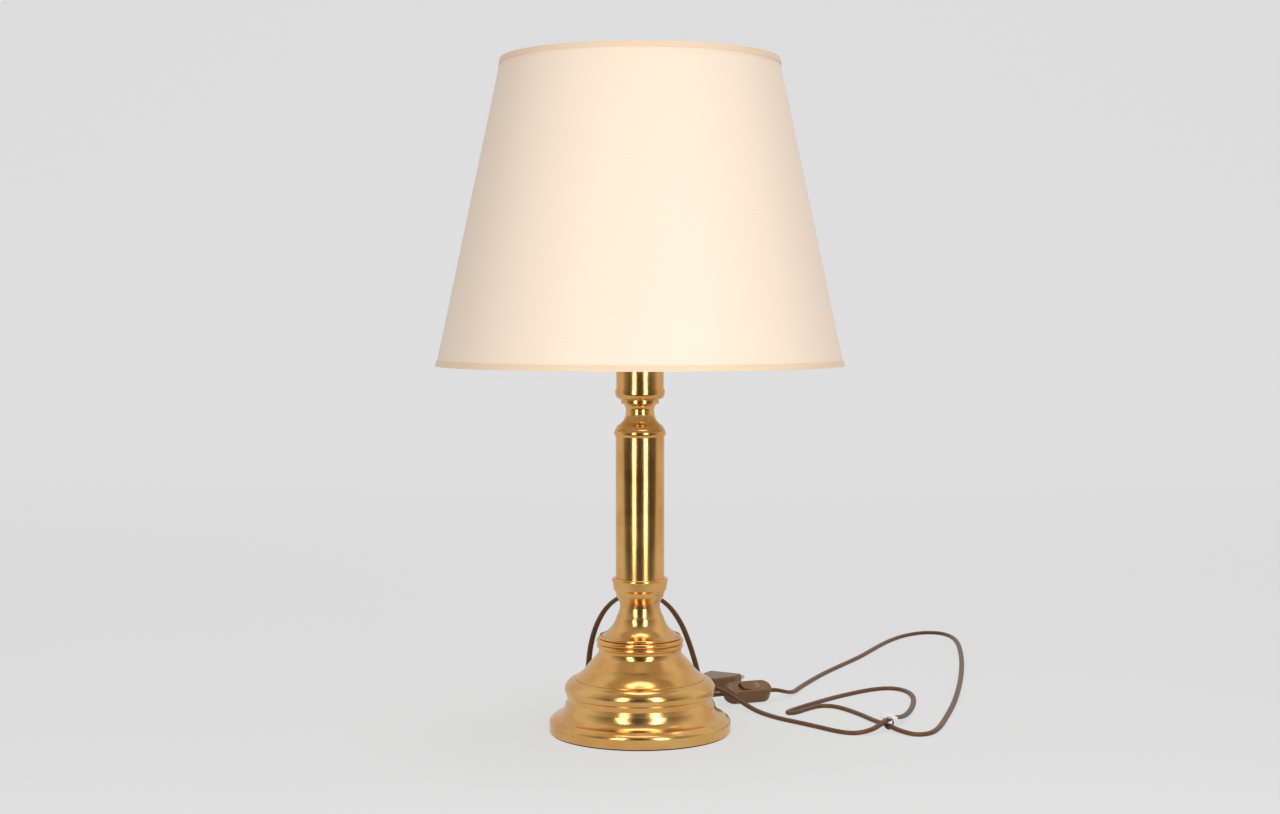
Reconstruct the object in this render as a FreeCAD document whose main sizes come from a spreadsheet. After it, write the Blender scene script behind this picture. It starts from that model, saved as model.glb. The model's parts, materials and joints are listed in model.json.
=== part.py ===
import FreeCAD, Part
import math
import os

import Sketcher
from FreeCAD import Placement, Rotation, Vector

# Candlestick table lamp: turned brass foot, bell, cup, column and capital on a
# hollow rod, an E27 lampholder, a laminated cone shade, and a twin flex with
# an inline rocker switch and a flat two-pin plug.
# Millimetres, +Z up. The origin is the middle of the felt, on the table.
# The flex leaves the foot at the back (+Y).

SIZES = [
    # foot: felt, rim, cove and shoulder; each rise starts where the last one ends
    ("felt_thickness", 1.2), ("felt_inset", 1.2),
    ("rim_rise", 6.8), ("rim_wall", 3.2),
    ("step_inset", 2.3), ("step_rise", 4.4),
    ("cove_lip", 1.8), ("cove_lip_rise", 1.7),
    ("cove_depth", 9.6), ("cove_rise", 10.4),
    ("waist_depth", 2.2), ("waist_rise", 4.0),
    ("fillet_reach", 1.2), ("fillet_rise", 4.5),
    ("shoulder_reach", 1.1), ("shoulder_rise", 7.0),
    ("foot_top_inset", 7.6), ("foot_top_rise", 6.9), ("foot_wall", 3.4),
    # bell: lower sweep, neck, three beads, upper sweep
    ("bell_inset", 1.2), ("bell_lip", 1.0),
    ("bell_low_inset", 11.5), ("bell_low_rise", 11.1),
    ("bell_high_inset", 7.9), ("bell_high_rise", 8.4),
    ("neck_inset", 0.8), ("neck_rise", 5.8),
    ("bead_low_rise", 4.2), ("bead_low_inset", 0.1), ("bead_mid_rise", 4.3),
    ("bead_high_inset", 1.4), ("bead_high_rise", 2.9),
    ("sweep_lip", 1.0), ("sweep_depth", 13.3), ("sweep_rise", 15.8),
    ("bell_top_inset", 3.0), ("bell_top_rise", 8.5), ("bell_wall", 4.0),
    # cup under the column
    ("cup_stem_rise", 3.5), ("cup_low_reach", 3.3), ("cup_low_rise", 6.0),
    ("cup_mid_reach", 2.3), ("cup_mid_rise", 6.0),
    ("cup_rim_reach", 1.0), ("cup_rim_rise", 6.8),
    ("cup_wall", 1.7), ("cup_top_inset", 1.2), ("cup_top_rise", 3.1), ("cup_recess", 3.0),
    # column
    ("column_radius", 21.0), ("column_wall", 1.5), ("column_rise", 122.2),
    # capital: ring, scotia and socket
    ("spigot_length", 6.5), ("ring_rise", 6.9), ("ring_inset", 0.1),
    ("capital_step_inset", 0.9), ("capital_step_rise", 2.4),
    ("scotia_lip", 2.3), ("scotia_lip_rise", 1.6),
    ("scotia_depth", 5.4), ("scotia_rise", 10.9),
    ("socket_neck_reach", 4.1), ("socket_neck_rise", 7.3),
    ("socket_step_rise", 2.8), ("socket_low_reach", 3.0), ("socket_low_rise", 1.6),
    ("socket_reach", 2.0), ("socket_rise", 4.6), ("socket_lip_rise", 2.9),
    # rod that clamps the stem, and the weight below it
    ("rod_radius", 5.0), ("rod_bore_radius", 3.5), ("rod_clearance", 0.15),
    ("rod_overhang", 0.8), ("weight_gap", 0.1), ("weight_thickness", 15.5),
    ("washer_reach", 8.0), ("washer_thickness", 1.6),
    ("nut_reach", 4.6), ("nut_thickness", 5.0), ("fit_gap", 0.1),
    # lampholder
    ("sleeve_inset", 0.9), ("sleeve_wall", 0.8), ("sleeve_floor", 2.4),
    ("sleeve_rise", 24.5), ("thread_inset", 0.9), ("thread_rise", 28.0),
    ("top_nut_thickness", 3.0), ("insert_gap", 3.1), ("insert_floor", 5.0),
    ("shell_radius", 13.9), ("shell_wall", 0.4), ("shell_length", 29.4),
    ("contact_radius", 4.0), ("contact_height", 2.2),
    # bulb
    ("cap_clearance", 0.3), ("cap_length", 25.0), ("bulb_radius", 30.0),
    ("bulb_length", 104.0), ("bulb_neck_reach", 0.7),
    ("bulb_contact_radius", 4.8), ("bulb_contact_height", 2.5),
    # shade
    ("shade_bottom_radius", 175.0), ("shade_top_radius", 119.0),
    ("shade_drop", 16.0), ("shade_height", 261.5), ("shade_wall", 1.2),
    ("trim_width", 5.0), ("trim_thickness", 0.7), ("skin_gap", 0.05),
    ("wire_radius", 1.25), ("arm_radius", 1.5),
    ("fitter_rise", 12.0), ("fitter_thickness", 1.6), ("fitter_reach", 9.4),
    ("grip_ring_reach", 4.9), ("grip_ring_thickness", 4.5), ("turn_gap", 0.3),
    # flex and bush
    ("flex_radius", 2.5), ("flex_lead", 7.0), ("exit_height", 7.0), ("bush_wall", 1.0),
    ("bush_flange_reach", 1.1), ("bush_flange", 1.4), ("bush_depth", 4.6),
    # inline switch
    ("switch_length", 46.0), ("switch_width", 18.5), ("switch_thickness", 14.5),
    ("switch_wall", 1.8), ("switch_round", 3.2), ("switch_roll", 30.0),
    ("switch_yaw", 22.0), ("switch_x", 100.4), ("switch_y", 122.0),
    ("rocker_length", 19.6), ("rocker_width", 9.6), ("rocker_gap", 0.4),
    ("rocker_swing", 0.5),
    ("rocker_thickness", 4.8), ("rocker_stand", 1.8), ("rocker_tilt", 7.0),
    ("rocker_dish_radius", 34.0), ("axle_radius", 1.2),
    ("axle_clearance", 0.05), ("terminal_length", 7.0), ("terminal_place", 14.0),
    # plug
    ("plug_length", 36.0), ("plug_width", 35.3), ("plug_thickness", 13.7),
    ("plug_parallel", 14.0), ("plug_tail_width", 13.0), ("plug_round", 2.4),
    ("plug_x", 83.0), ("plug_y", 199.0), ("plug_yaw", 60.0), ("plug_lift", 0.1),
    ("pin_radius", 2.0), ("pin_core_radius", 1.6), ("pin_length", 19.0),
    ("pin_sleeve_length", 10.0), ("pin_pitch", 19.0),
    ("relief_length", 24.0), ("relief_start_radius", 5.4), ("relief_end_radius", 3.4),
    # wire tie round the bundle
    ("tie_width", 3.0), ("tie_thickness", 0.6), ("tie_x", 217.0), ("tie_y", 7.0),
    ("tie_clearance", 0.5), ("tie_slack", 2.4), ("tie_tail_length", 13.0), ("tie_tail_radius", 0.8),
]


def levels(base, rises):
    """Heights or radii that follow from each other: base, base + a, base + a - b and so on."""
    found = [base]
    for rise in rises.split():
        sign, name = ("- ", rise[1:]) if rise.startswith("-") else ("+ ", rise)
        found.append(f"{found[-1]} {sign}{name}")
    return found


# Heights of the turned outlines, from the table up.
FOOT_Z = levels("felt_thickness", "rim_rise step_rise cove_lip_rise cove_rise waist_rise "
                "fillet_rise shoulder_rise foot_top_rise")
FOOT_TOP = FOOT_Z[-1]
BELL_Z = levels(FOOT_TOP, "bell_lip bell_low_rise bell_high_rise neck_rise bead_low_rise "
                "bead_mid_rise bead_high_rise sweep_rise bell_top_rise")
BELL_TOP = BELL_Z[-1]
CUP_Z = levels(BELL_TOP, "cup_stem_rise cup_low_rise cup_mid_rise cup_rim_rise cup_top_rise")
CUP_TOP = CUP_Z[-1]
COLUMN_TOP = CUP_TOP + " + column_rise"
CAPITAL_Z = levels(COLUMN_TOP, "ring_rise capital_step_rise scotia_lip_rise scotia_rise "
                   "socket_neck_rise socket_step_rise socket_low_rise socket_rise socket_lip_rise")
CAPITAL_TOP = CAPITAL_Z[-1]
ROD_TOP = CAPITAL_TOP + " + sleeve_floor + top_nut_thickness"
INSERT_BASE = ROD_TOP + " + insert_gap"
SHELL_BASE = INSERT_BASE + " + insert_floor"
SHELL_TOP = SHELL_BASE + " + shell_length"
SLEEVE_SHOULDER = CAPITAL_TOP + " + sleeve_rise"
SLEEVE_TOP = SLEEVE_SHOULDER + " + thread_rise"
FITTER_BASE = SLEEVE_SHOULDER + " + fitter_rise"
SHADE_BOTTOM = FITTER_BASE + " - shade_drop"
SHADE_TOP = SHADE_BOTTOM + " + shade_height"

# Radii of the same outlines. Each grows outwards from the column, cup first and foot last.
CUP_R = levels("column_radius + cup_wall", "cup_top_inset -cup_rim_reach -cup_mid_reach "
               "-cup_low_reach")[::-1]
BELL_R = levels(CUP_R[0], "bell_top_inset sweep_depth sweep_lip bead_high_inset bead_low_inset "
                "neck_inset bell_high_inset bell_low_inset")[::-1]
FOOT_R = levels(BELL_R[0] + " + bell_inset", "foot_top_inset -shoulder_reach -fillet_reach "
                "waist_depth cove_depth cove_lip step_inset")[::-1]
FOOT_RADIUS = FOOT_R[0]
WEIGHT_RADIUS = FOOT_R[-1] + " - foot_wall - weight_gap"
SCOTIA_R = levels("column_radius - ring_inset", "-capital_step_inset -scotia_lip -scotia_depth "
                  "socket_neck_reach socket_low_reach socket_reach")
ROD_HOLE = "rod_radius + rod_clearance"
WEIGHT_BOTTOM = FOOT_TOP + " - foot_wall - weight_thickness"
ROD_BOTTOM = WEIGHT_BOTTOM + " - washer_thickness - nut_thickness - rod_overhang"
SLEEVE_RADIUS = SCOTIA_R[-1] + " - sleeve_inset"
THREAD_RADIUS = SLEEVE_RADIUS + " - thread_inset"
SLEEVE_BORE = THREAD_RADIUS + " - sleeve_wall"
GRIP_RADIUS = THREAD_RADIUS + " + grip_ring_reach"
BUSH_RADIUS = "flex_radius + bush_wall"

doc = FreeCAD.newDocument("candlestick_lamp")
sheet = doc.addObject("Spreadsheet::Sheet", "sizes")
for row, (name, number) in enumerate(SIZES, start=1):
    sheet.set(f"A{row}", str(number))
    sheet.setAlias(f"A{row}", name)
doc.recompute()


def terms_of(text):
    """Split 'a - b + c' into signed names: (1, a), (-1, b), (1, c)."""
    signed = []
    sign = 1
    for word in text.split():
        if word in "+-":
            sign = 1 if word == "+" else -1
        else:
            signed.append((sign, word))
    return signed


def size(text):
    """The number that a sum of named sizes comes to."""
    return sum(sign * float(getattr(sheet, name)) for sign, name in terms_of(text))


def formula(text):
    """The same sum as an expression on the sheet's cells."""
    words = [("+ " if sign > 0 else "- ") + f"sizes.{name}" for sign, name in terms_of(text)]
    return " ".join(words).removeprefix("+ ")


def plane(body, role):
    """One of the body's own origin planes."""
    return next(item for item in body.Origin.OriginFeatures if item.Role == role)


def new_body(label):
    body = doc.addObject("PartDesign::Body", label)
    body.Label = label
    return body


def new_sketch(body, role, name):
    sketch = body.newObject("Sketcher::SketchObject", name)
    sketch.AttachmentSupport = (plane(body, role), [""])
    sketch.MapMode = "FlatFace"
    return sketch


def draw_outline(sketch, corners):
    """Closed outline through corners (across, up, bulge).

    Across and up are sums of named sizes. Bulge is the rise of the arc that
    leaves the corner as a share of its chord, positive to the right of travel,
    and 0 draws a straight edge.
    """
    points = [Vector(0 if a == "0" else size(a), 0 if u == "0" else size(u), 0) for a, u, _ in corners]
    arcs = []
    for index, (_, _, bulge) in enumerate(corners):
        start = points[index]
        end = points[(index + 1) % len(points)]
        if bulge == 0:
            sketch.addGeometry(Part.LineSegment(start, end), False)
            arcs.append((1, 2, 0))
            continue
        chord = end - start
        right = Vector(chord.y, -chord.x, 0)
        circle = Part.Arc(start, (start + end) * 0.5 + right * bulge, end).toShape().Curve
        first, last = (start, end) if bulge > 0 else (end, start)
        angles = [math.atan2(p.y - circle.Center.y, p.x - circle.Center.x) for p in (first, last)]
        round_edge = Part.Circle(circle.Center, Vector(0, 0, 1), circle.Radius)
        sketch.addGeometry(Part.ArcOfCircle(round_edge, angles[0], angles[1]), False)
        arcs.append((1, 2, circle.Radius) if bulge > 0 else (2, 1, circle.Radius))
    for index, (first, last, radius) in enumerate(arcs):
        following = (index + 1) % len(arcs)
        sketch.addConstraint(Sketcher.Constraint("Coincident", index, last, following, arcs[following][0]))
        across, up, _ = corners[index]
        hold(sketch, index, first, across, "DistanceX", -2)
        hold(sketch, index, first, up, "DistanceY", -1)
        if radius:
            sketch.addConstraint(Sketcher.Constraint("Radius", index, radius))


def hold(sketch, edge, end, text, kind, axis):
    """Hold one end of an edge at a named distance, or on the axis where it is 0."""
    if text == "0":
        sketch.addConstraint(Sketcher.Constraint("PointOnObject", edge, end, axis))
        return
    index = sketch.addConstraint(Sketcher.Constraint(kind, -1, 1, edge, end, size(text)))
    sketch.setExpression(f"Constraints[{index}]", formula(text))


def turned(label, corners):
    """A piece turned about the lamp's axis from its outline."""
    body = new_body(label)
    sketch = new_sketch(body, "XZ_Plane", label + "_outline")
    draw_outline(sketch, corners)
    turn = body.newObject("PartDesign::Revolution", label + "_turn")
    turn.Profile = sketch
    turn.ReferenceAxis = (sketch, ["V_Axis"])
    turn.Angle = 360
    sketch.Visibility = False
    return body


def ring(label, outer, inner, bottom, height):
    """A plain ring or tube from named sizes."""
    pieces = []
    for part, radius in (("outer", outer), ("inner", inner)):
        cylinder = doc.addObject("Part::Cylinder", f"{label}_{part}")
        cylinder.setExpression("Radius", formula(radius))
        cylinder.setExpression("Height", formula(height))
        cylinder.setExpression("Placement.Base.z", formula(bottom))
        pieces.append(cylinder)
    cut = doc.addObject("Part::Cut", label)
    cut.Base, cut.Tool = pieces
    cut.Label = label
    return cut


def shaped(label, shape, placement=None):
    """A piece whose form is worked out here."""
    feature = doc.addObject("Part::Feature", label)
    feature.Shape = shape
    feature.Label = label
    if placement:
        feature.Placement = placement.multiply(shape.Placement)
    return feature


# ---- foot and stem -------------------------------------------------------

def make_foot():
    body = turned("base_foot", [
        (FOOT_RADIUS, "felt_thickness", 0),
        (FOOT_R[0], FOOT_Z[1], 0.18),
        (FOOT_R[1], FOOT_Z[2], 0),
        (FOOT_R[2], FOOT_Z[3], -0.16),
        (FOOT_R[3], FOOT_Z[4], 0),
        (FOOT_R[4], FOOT_Z[5], 0),
        (FOOT_R[5], FOOT_Z[6], 0.1),
        (FOOT_R[6], FOOT_Z[7], 0.12),
        (FOOT_R[7], FOOT_TOP, 0),
        (ROD_HOLE, FOOT_TOP, 0),
        (ROD_HOLE, FOOT_TOP + " - foot_wall", 0),
        (FOOT_R[7] + " - foot_wall", FOOT_TOP + " - foot_wall", 0),
        (FOOT_R[4] + " - foot_wall", FOOT_Z[5], 0),
        (FOOT_RADIUS + " - rim_wall", FOOT_Z[1], 0),
        (FOOT_RADIUS + " - rim_wall", "felt_thickness", 0),
    ])
    hole = new_sketch(body, "XZ_Plane", "cord_hole")
    hole.addGeometry(Part.Circle(Vector(0, size("exit_height"), 0), Vector(0, 0, 1), size(BUSH_RADIUS)))
    hole.addConstraint(Sketcher.Constraint("PointOnObject", 0, 3, -2))
    height = hole.addConstraint(Sketcher.Constraint("DistanceY", -1, 1, 0, 3, size("exit_height")))
    hole.setExpression(f"Constraints[{height}]", formula("exit_height"))
    reach = hole.addConstraint(Sketcher.Constraint("Radius", 0, size(BUSH_RADIUS + " + fit_gap")))
    hole.setExpression(f"Constraints[{reach}]", formula(BUSH_RADIUS + " + fit_gap"))
    doc.recompute()
    before = body.Shape.Volume
    pocket = body.newObject("PartDesign::Pocket", "cord_hole_cut")
    pocket.Profile = hole
    pocket.setExpression("Length", formula(FOOT_RADIUS + " + rim_wall"))
    pocket.Reversed = False
    hole.Visibility = False
    doc.recompute()
    if not hole_is_at_back(body):
        pocket.Reversed = True
        doc.recompute()
    if not body.Shape.Volume < before:
        raise ValueError("the cord hole cuts nothing")
    return body


def hole_is_at_back(body):
    """True where the rim is open at the back, at the flex's height."""
    middle = size(FOOT_RADIUS) - size("rim_wall") / 2
    return not body.Shape.isInside(Vector(0, middle, size("exit_height")), 1e-4, True)


def make_stem():
    turned("base_bell", [
        (BELL_R[0], FOOT_TOP, 0),
        (BELL_R[0], BELL_Z[1], -0.06),
        (BELL_R[1], BELL_Z[2], 0),
        (BELL_R[2], BELL_Z[3], -0.1),
        (BELL_R[3], BELL_Z[4], 0.35),
        (BELL_R[4], BELL_Z[5], 0.42),
        (BELL_R[4], BELL_Z[6], 0),
        (BELL_R[5], BELL_Z[6], 0.42),
        (BELL_R[5], BELL_Z[7], 0),
        (BELL_R[6], BELL_Z[7], -0.12),
        (BELL_R[7], BELL_Z[8], -0.05),
        (BELL_R[8], BELL_TOP, 0),
        (ROD_HOLE, BELL_TOP, 0),
        (ROD_HOLE, BELL_Z[8], 0),
        (BELL_R[7] + " - bell_wall", BELL_Z[8] + " - bell_wall", 0),
        (BELL_R[5] + " - bell_wall", BELL_Z[6] + " - bell_wall", 0),
        (BELL_R[3] + " - bell_wall", BELL_Z[3] + " - bell_wall", 0),
        (BELL_R[0] + " - bell_wall", FOOT_TOP, 0),
    ])
    turned("collar_cup", [
        (ROD_HOLE, BELL_TOP, 0),
        (CUP_R[0], BELL_TOP, 0),
        (CUP_R[0], CUP_Z[1], 0),
        (CUP_R[1], CUP_Z[2], -0.08),
        (CUP_R[2], CUP_Z[3], 0),
        (CUP_R[3], CUP_Z[4], 0.3),
        (CUP_R[4], CUP_TOP, 0),
        ("column_radius + fit_gap", CUP_TOP, 0),
        ("column_radius + fit_gap", CUP_TOP + " - cup_recess", 0),
        (ROD_HOLE, CUP_TOP + " - cup_recess", 0),
    ])
    turned("column_tube", [
        ("column_radius - column_wall", CUP_TOP + " - cup_recess", 0),
        ("column_radius", CUP_TOP + " - cup_recess", 0),
        ("column_radius", COLUMN_TOP, 0),
        ("column_radius - column_wall", COLUMN_TOP, 0),
    ])
    turned("column_capital", [
        (ROD_HOLE, COLUMN_TOP + " - spigot_length", 0),
        ("column_radius - column_wall - fit_gap", COLUMN_TOP + " - spigot_length", 0),
        ("column_radius - column_wall - fit_gap", COLUMN_TOP, 0),
        (SCOTIA_R[0], COLUMN_TOP, 0.22),
        (SCOTIA_R[0], CAPITAL_Z[1], 0),
        (SCOTIA_R[1], CAPITAL_Z[2], 0),
        (SCOTIA_R[2], CAPITAL_Z[3], -0.12),
        (SCOTIA_R[3], CAPITAL_Z[4], -0.2),
        (SCOTIA_R[4], CAPITAL_Z[5], 0),
        (SCOTIA_R[4], CAPITAL_Z[6], 0),
        (SCOTIA_R[5], CAPITAL_Z[7], 0.12),
        (SCOTIA_R[6], CAPITAL_Z[8], 0),
        (SCOTIA_R[6], CAPITAL_TOP, 0),
        (ROD_HOLE, CAPITAL_TOP, 0),
    ])


def make_clamp():
    """Rod, weight, washer and nuts that hold the stem together."""
    washer_base = WEIGHT_BOTTOM + " - washer_thickness"
    ring("threaded_rod", "rod_radius", "rod_bore_radius", ROD_BOTTOM, ROD_TOP + minus(ROD_BOTTOM))
    ring("base_weight", WEIGHT_RADIUS, ROD_HOLE, WEIGHT_BOTTOM, "weight_thickness")
    ring("base_washer", "rod_radius + washer_reach", ROD_HOLE, washer_base, "washer_thickness")
    hex_nut("base_nut", washer_base + " - nut_thickness", "nut_thickness")
    hex_nut("rod_top_nut", CAPITAL_TOP + " + sleeve_floor", "top_nut_thickness")
    felt = doc.addObject("Part::Cylinder", "base_felt")
    felt.Label = "base_felt"
    felt.setExpression("Radius", formula(FOOT_RADIUS + " - felt_inset"))
    felt.setExpression("Height", formula("felt_thickness"))


def minus(text):
    """The sum with every sign turned, to be added to another."""
    return "".join((" - " if sign > 0 else " + ") + name for sign, name in terms_of(text))


def hex_nut(label, bottom, height):
    """Hexagonal nut with a hole that runs free on the rod."""
    prism = doc.addObject("Part::Prism", label + "_hexagon")
    prism.Polygon = 6
    prism.setExpression("Circumradius", formula("rod_radius + nut_reach"))
    prism.setExpression("Height", formula(height))
    prism.setExpression("Placement.Base.z", formula(bottom))
    bore = doc.addObject("Part::Cylinder", label + "_bore")
    bore.setExpression("Radius", formula("rod_radius + axle_clearance"))
    bore.setExpression("Height", formula(height))
    bore.setExpression("Placement.Base.z", formula(bottom))
    nut = doc.addObject("Part::Cut", label)
    nut.Base = prism
    nut.Tool = bore
    nut.Label = label


# ---- lampholder and bulb -------------------------------------------------

def make_lampholder():
    floor = CAPITAL_TOP + " + sleeve_floor"
    turned("lampholder_sleeve", [
        (ROD_HOLE, CAPITAL_TOP, 0),
        (SLEEVE_RADIUS, CAPITAL_TOP, 0),
        (SLEEVE_RADIUS, SLEEVE_SHOULDER, 0),
        (THREAD_RADIUS, SLEEVE_SHOULDER, 0),
        (THREAD_RADIUS, SLEEVE_TOP, 0),
        (SLEEVE_BORE, SLEEVE_TOP, 0),
        (SLEEVE_BORE, floor, 0),
        (ROD_HOLE, floor, 0),
    ])
    turned("lampholder_insert", [
        ("rod_bore_radius", INSERT_BASE, 0),
        (SLEEVE_BORE + " - fit_gap", INSERT_BASE, 0),
        (SLEEVE_BORE + " - fit_gap", SHELL_TOP, 0),
        ("shell_radius + fit_gap", SHELL_TOP, 0),
        ("shell_radius + fit_gap", SHELL_BASE, 0),
        ("rod_bore_radius", SHELL_BASE, 0),
    ])
    ring("lampholder_shell", "shell_radius", "shell_radius - shell_wall", SHELL_BASE, "shell_length")
    contact = doc.addObject("Part::Cylinder", "lampholder_contact")
    contact.Label = "lampholder_contact"
    contact.setExpression("Radius", formula("contact_radius"))
    contact.setExpression("Height", formula("contact_height"))
    contact.setExpression("Placement.Base.z", formula(SHELL_BASE))


def make_bulb():
    low = SHELL_BASE + " + contact_height + turn_gap"
    cap_bottom = low + " + bulb_contact_height"
    cap_top = cap_bottom + " + cap_length"
    cap = "shell_radius - shell_wall - cap_clearance"
    tip = doc.addObject("Part::Cone", "bulb_contact")
    tip.Label = "bulb_contact"
    tip.setExpression("Radius1", formula("bulb_contact_radius"))
    tip.setExpression("Radius2", formula(cap))
    tip.setExpression("Height", formula("bulb_contact_height"))
    tip.setExpression("Placement.Base.z", formula(low))
    base = doc.addObject("Part::Cylinder", "bulb_cap")
    base.Label = "bulb_cap"
    base.setExpression("Radius", formula(cap))
    base.setExpression("Height", formula("cap_length"))
    base.setExpression("Placement.Base.z", formula(cap_bottom))
    shaped("bulb_glass", bulb_envelope(size(cap_top), size(low + " + bulb_length - bulb_radius")))


def bulb_envelope(bottom, centre):
    """Ball on a flared neck: the flare is tangent to both."""
    radius = size("bulb_radius")
    neck = size("shell_radius - shell_wall + bulb_neck_reach")
    slope = math.radians(45)
    ball_low = Vector(radius * math.cos(slope), 0, centre - radius * math.sin(slope))
    flare = (ball_low.x - neck) / (1 - math.cos(slope))
    neck_top = ball_low.z - flare * math.sin(slope)
    flare_middle = Vector(neck + flare * (1 - math.cos(slope / 2)), 0, neck_top + flare * math.sin(slope / 2))
    corners = [Vector(0, 0, bottom), Vector(neck, 0, bottom), Vector(neck, 0, neck_top)]
    crown = Vector(0, 0, centre + radius)
    outline = Part.Wire([
        Part.LineSegment(corners[0], corners[1]).toShape(),
        Part.LineSegment(corners[1], corners[2]).toShape(),
        Part.Arc(corners[2], flare_middle, ball_low).toShape(),
        Part.Arc(ball_low, Vector(radius, 0, centre), crown).toShape(),
        Part.LineSegment(crown, corners[0]).toShape(),
    ])
    return Part.Face(outline).revolve(Vector(0, 0, 0), Vector(0, 0, 1), 360)


# ---- shade ---------------------------------------------------------------

def shade_radius(height):
    """Outer radius of the shade's skin at a height."""
    share = (height - size(SHADE_BOTTOM)) / size("shade_height")
    return size("shade_bottom_radius") * (1 - share) + size("shade_top_radius") * share


def cone_band(label, bottom, top, outward, thickness):
    """A band of the shade's cone that lies a distance outside its skin."""
    cones = []
    for reach in (outward + thickness, outward):
        low, high = shade_radius(bottom) + reach, shade_radius(top) + reach
        cones.append(Part.makeCone(low, high, top - bottom, Vector(0, 0, bottom)))
    return shaped(label, cones[0].cut(cones[1]))


def make_shade():
    low, high = size(SHADE_BOTTOM), size(SHADE_TOP)
    width, thick = size("trim_width"), size("trim_thickness")
    cone_band("shade_shell", low, high, -size("shade_wall"), size("shade_wall"))
    cone_band("shade_trim_bottom", low, low + width, size("skin_gap"), thick)
    cone_band("shade_trim_top", high - width, high, size("skin_gap"), thick)
    wire = size("wire_radius")
    inset = size("shade_wall") + size("skin_gap") * 2 + wire * 1.03
    heights = {"low": low + width / 2, "high": high - width / 2}
    rings = {}
    for name, height in heights.items():
        rings[name] = Part.makeTorus(shade_radius(height) - inset, wire, Vector(0, 0, height))
    shaped("shade_ring_top", rings["high"])
    plate_low, plate_thick = size(FITTER_BASE), size("fitter_thickness")
    fitter_radius = size(THREAD_RADIUS + " + fitter_reach")
    plate = Part.makeCylinder(fitter_radius, plate_thick, Vector(0, 0, plate_low))
    bore = Part.makeCylinder(size(THREAD_RADIUS + " + turn_gap"), plate_thick, Vector(0, 0, plate_low))
    frame = plate.cut(bore).fuse(rings["low"])
    reach = shade_radius(heights["low"]) - inset
    for step in range(3):
        turn = Rotation(Vector(0, 0, 1), 90 + 120 * step)
        start = turn.multVec(Vector(fitter_radius - size("arm_radius"), 0, plate_low + plate_thick / 2))
        end = turn.multVec(Vector(reach, 0, heights["low"]))
        run = end - start
        frame = frame.fuse(Part.makeCylinder(size("arm_radius"), run.Length, start, run))
    shaped("shade_frame", frame)
    grip_bore = THREAD_RADIUS + " + axle_clearance"
    ring("shade_lower_ring", GRIP_RADIUS, grip_bore,
         FITTER_BASE + " - turn_gap - grip_ring_thickness", "grip_ring_thickness")
    ring("shade_clamp_ring", GRIP_RADIUS, grip_bore,
         FITTER_BASE + " + fitter_thickness + turn_gap", "grip_ring_thickness")


# ---- flex ----------------------------------------------------------------

def flex_tube(label, points):
    """Tube along straight runs joined by tangent arcs, each as large as its runs allow."""
    points = [Vector(*point) for point in points]
    edges = []
    radii = []
    last = points[0]
    for before, corner, after in zip(points, points[1:], points[2:]):
        inward, outward = (before - corner), (after - corner)
        trim = 0.45 * min(inward.Length, outward.Length)
        turn = math.pi - inward.getAngle(outward)
        radii.append(trim / math.tan(turn / 2))
        inward.normalize()
        outward.normalize()
        start, end = corner + inward * trim, corner + outward * trim
        middle_way = (inward + outward).normalize()
        depth = radii[-1] * (1 / math.cos(turn / 2) - 1)
        edges.append(Part.LineSegment(last, start).toShape())
        edges.append(Part.Arc(start, corner + middle_way * depth, end).toShape())
        last = end
    edges.append(Part.LineSegment(last, points[-1]).toShape())
    path = Part.Wire(edges)
    radius = size("flex_radius")
    section = Part.Wire(Part.makeCircle(radius, points[0], points[1] - points[0]))
    tube = path.makePipeShell([section], True, False)
    expected = math.pi * radius ** 2 * path.Length
    print(f"{label}: length {path.Length:.1f} mm, tightest radii "
          f"{[round(r, 1) for r in sorted(radii)[:6]]}, volume ratio {tube.Volume / expected:.4f}")
    return shaped(label, tube)


SWITCH_SPIN = Rotation(Vector(0, 0, 1), size("switch_yaw")) * Rotation(Vector(1, 0, 0), size("switch_roll"))
EDGE = size("switch_round")
ROLL = math.radians(size("switch_roll"))
# The rolled switch rests on its rounded lower edge.
SWITCH_CENTRE = Vector(
    size("switch_x"),
    size("switch_y"),
    (size("switch_width") / 2 - EDGE) * math.sin(ROLL)
    + (size("switch_thickness") / 2 - EDGE) * math.cos(ROLL) + EDGE,
)
SWITCH_PLACE = Placement(SWITCH_CENTRE, SWITCH_SPIN)
PLUG_SPIN = Rotation(Vector(0, 0, 1), size("plug_yaw"))
PLUG_CENTRE = Vector(size("plug_x"), size("plug_y"), size("plug_thickness") / 2 + size("plug_lift"))
PLUG_PLACE = Placement(PLUG_CENTRE, PLUG_SPIN)
FLOOR = size("flex_radius")


def on_switch(along):
    """A point on the switch's long axis."""
    return tuple(SWITCH_PLACE.multVec(Vector(along, 0, 0)))


def on_plug(along):
    """A point on the plug's long axis."""
    return tuple(PLUG_PLACE.multVec(Vector(along, 0, 0)))


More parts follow.
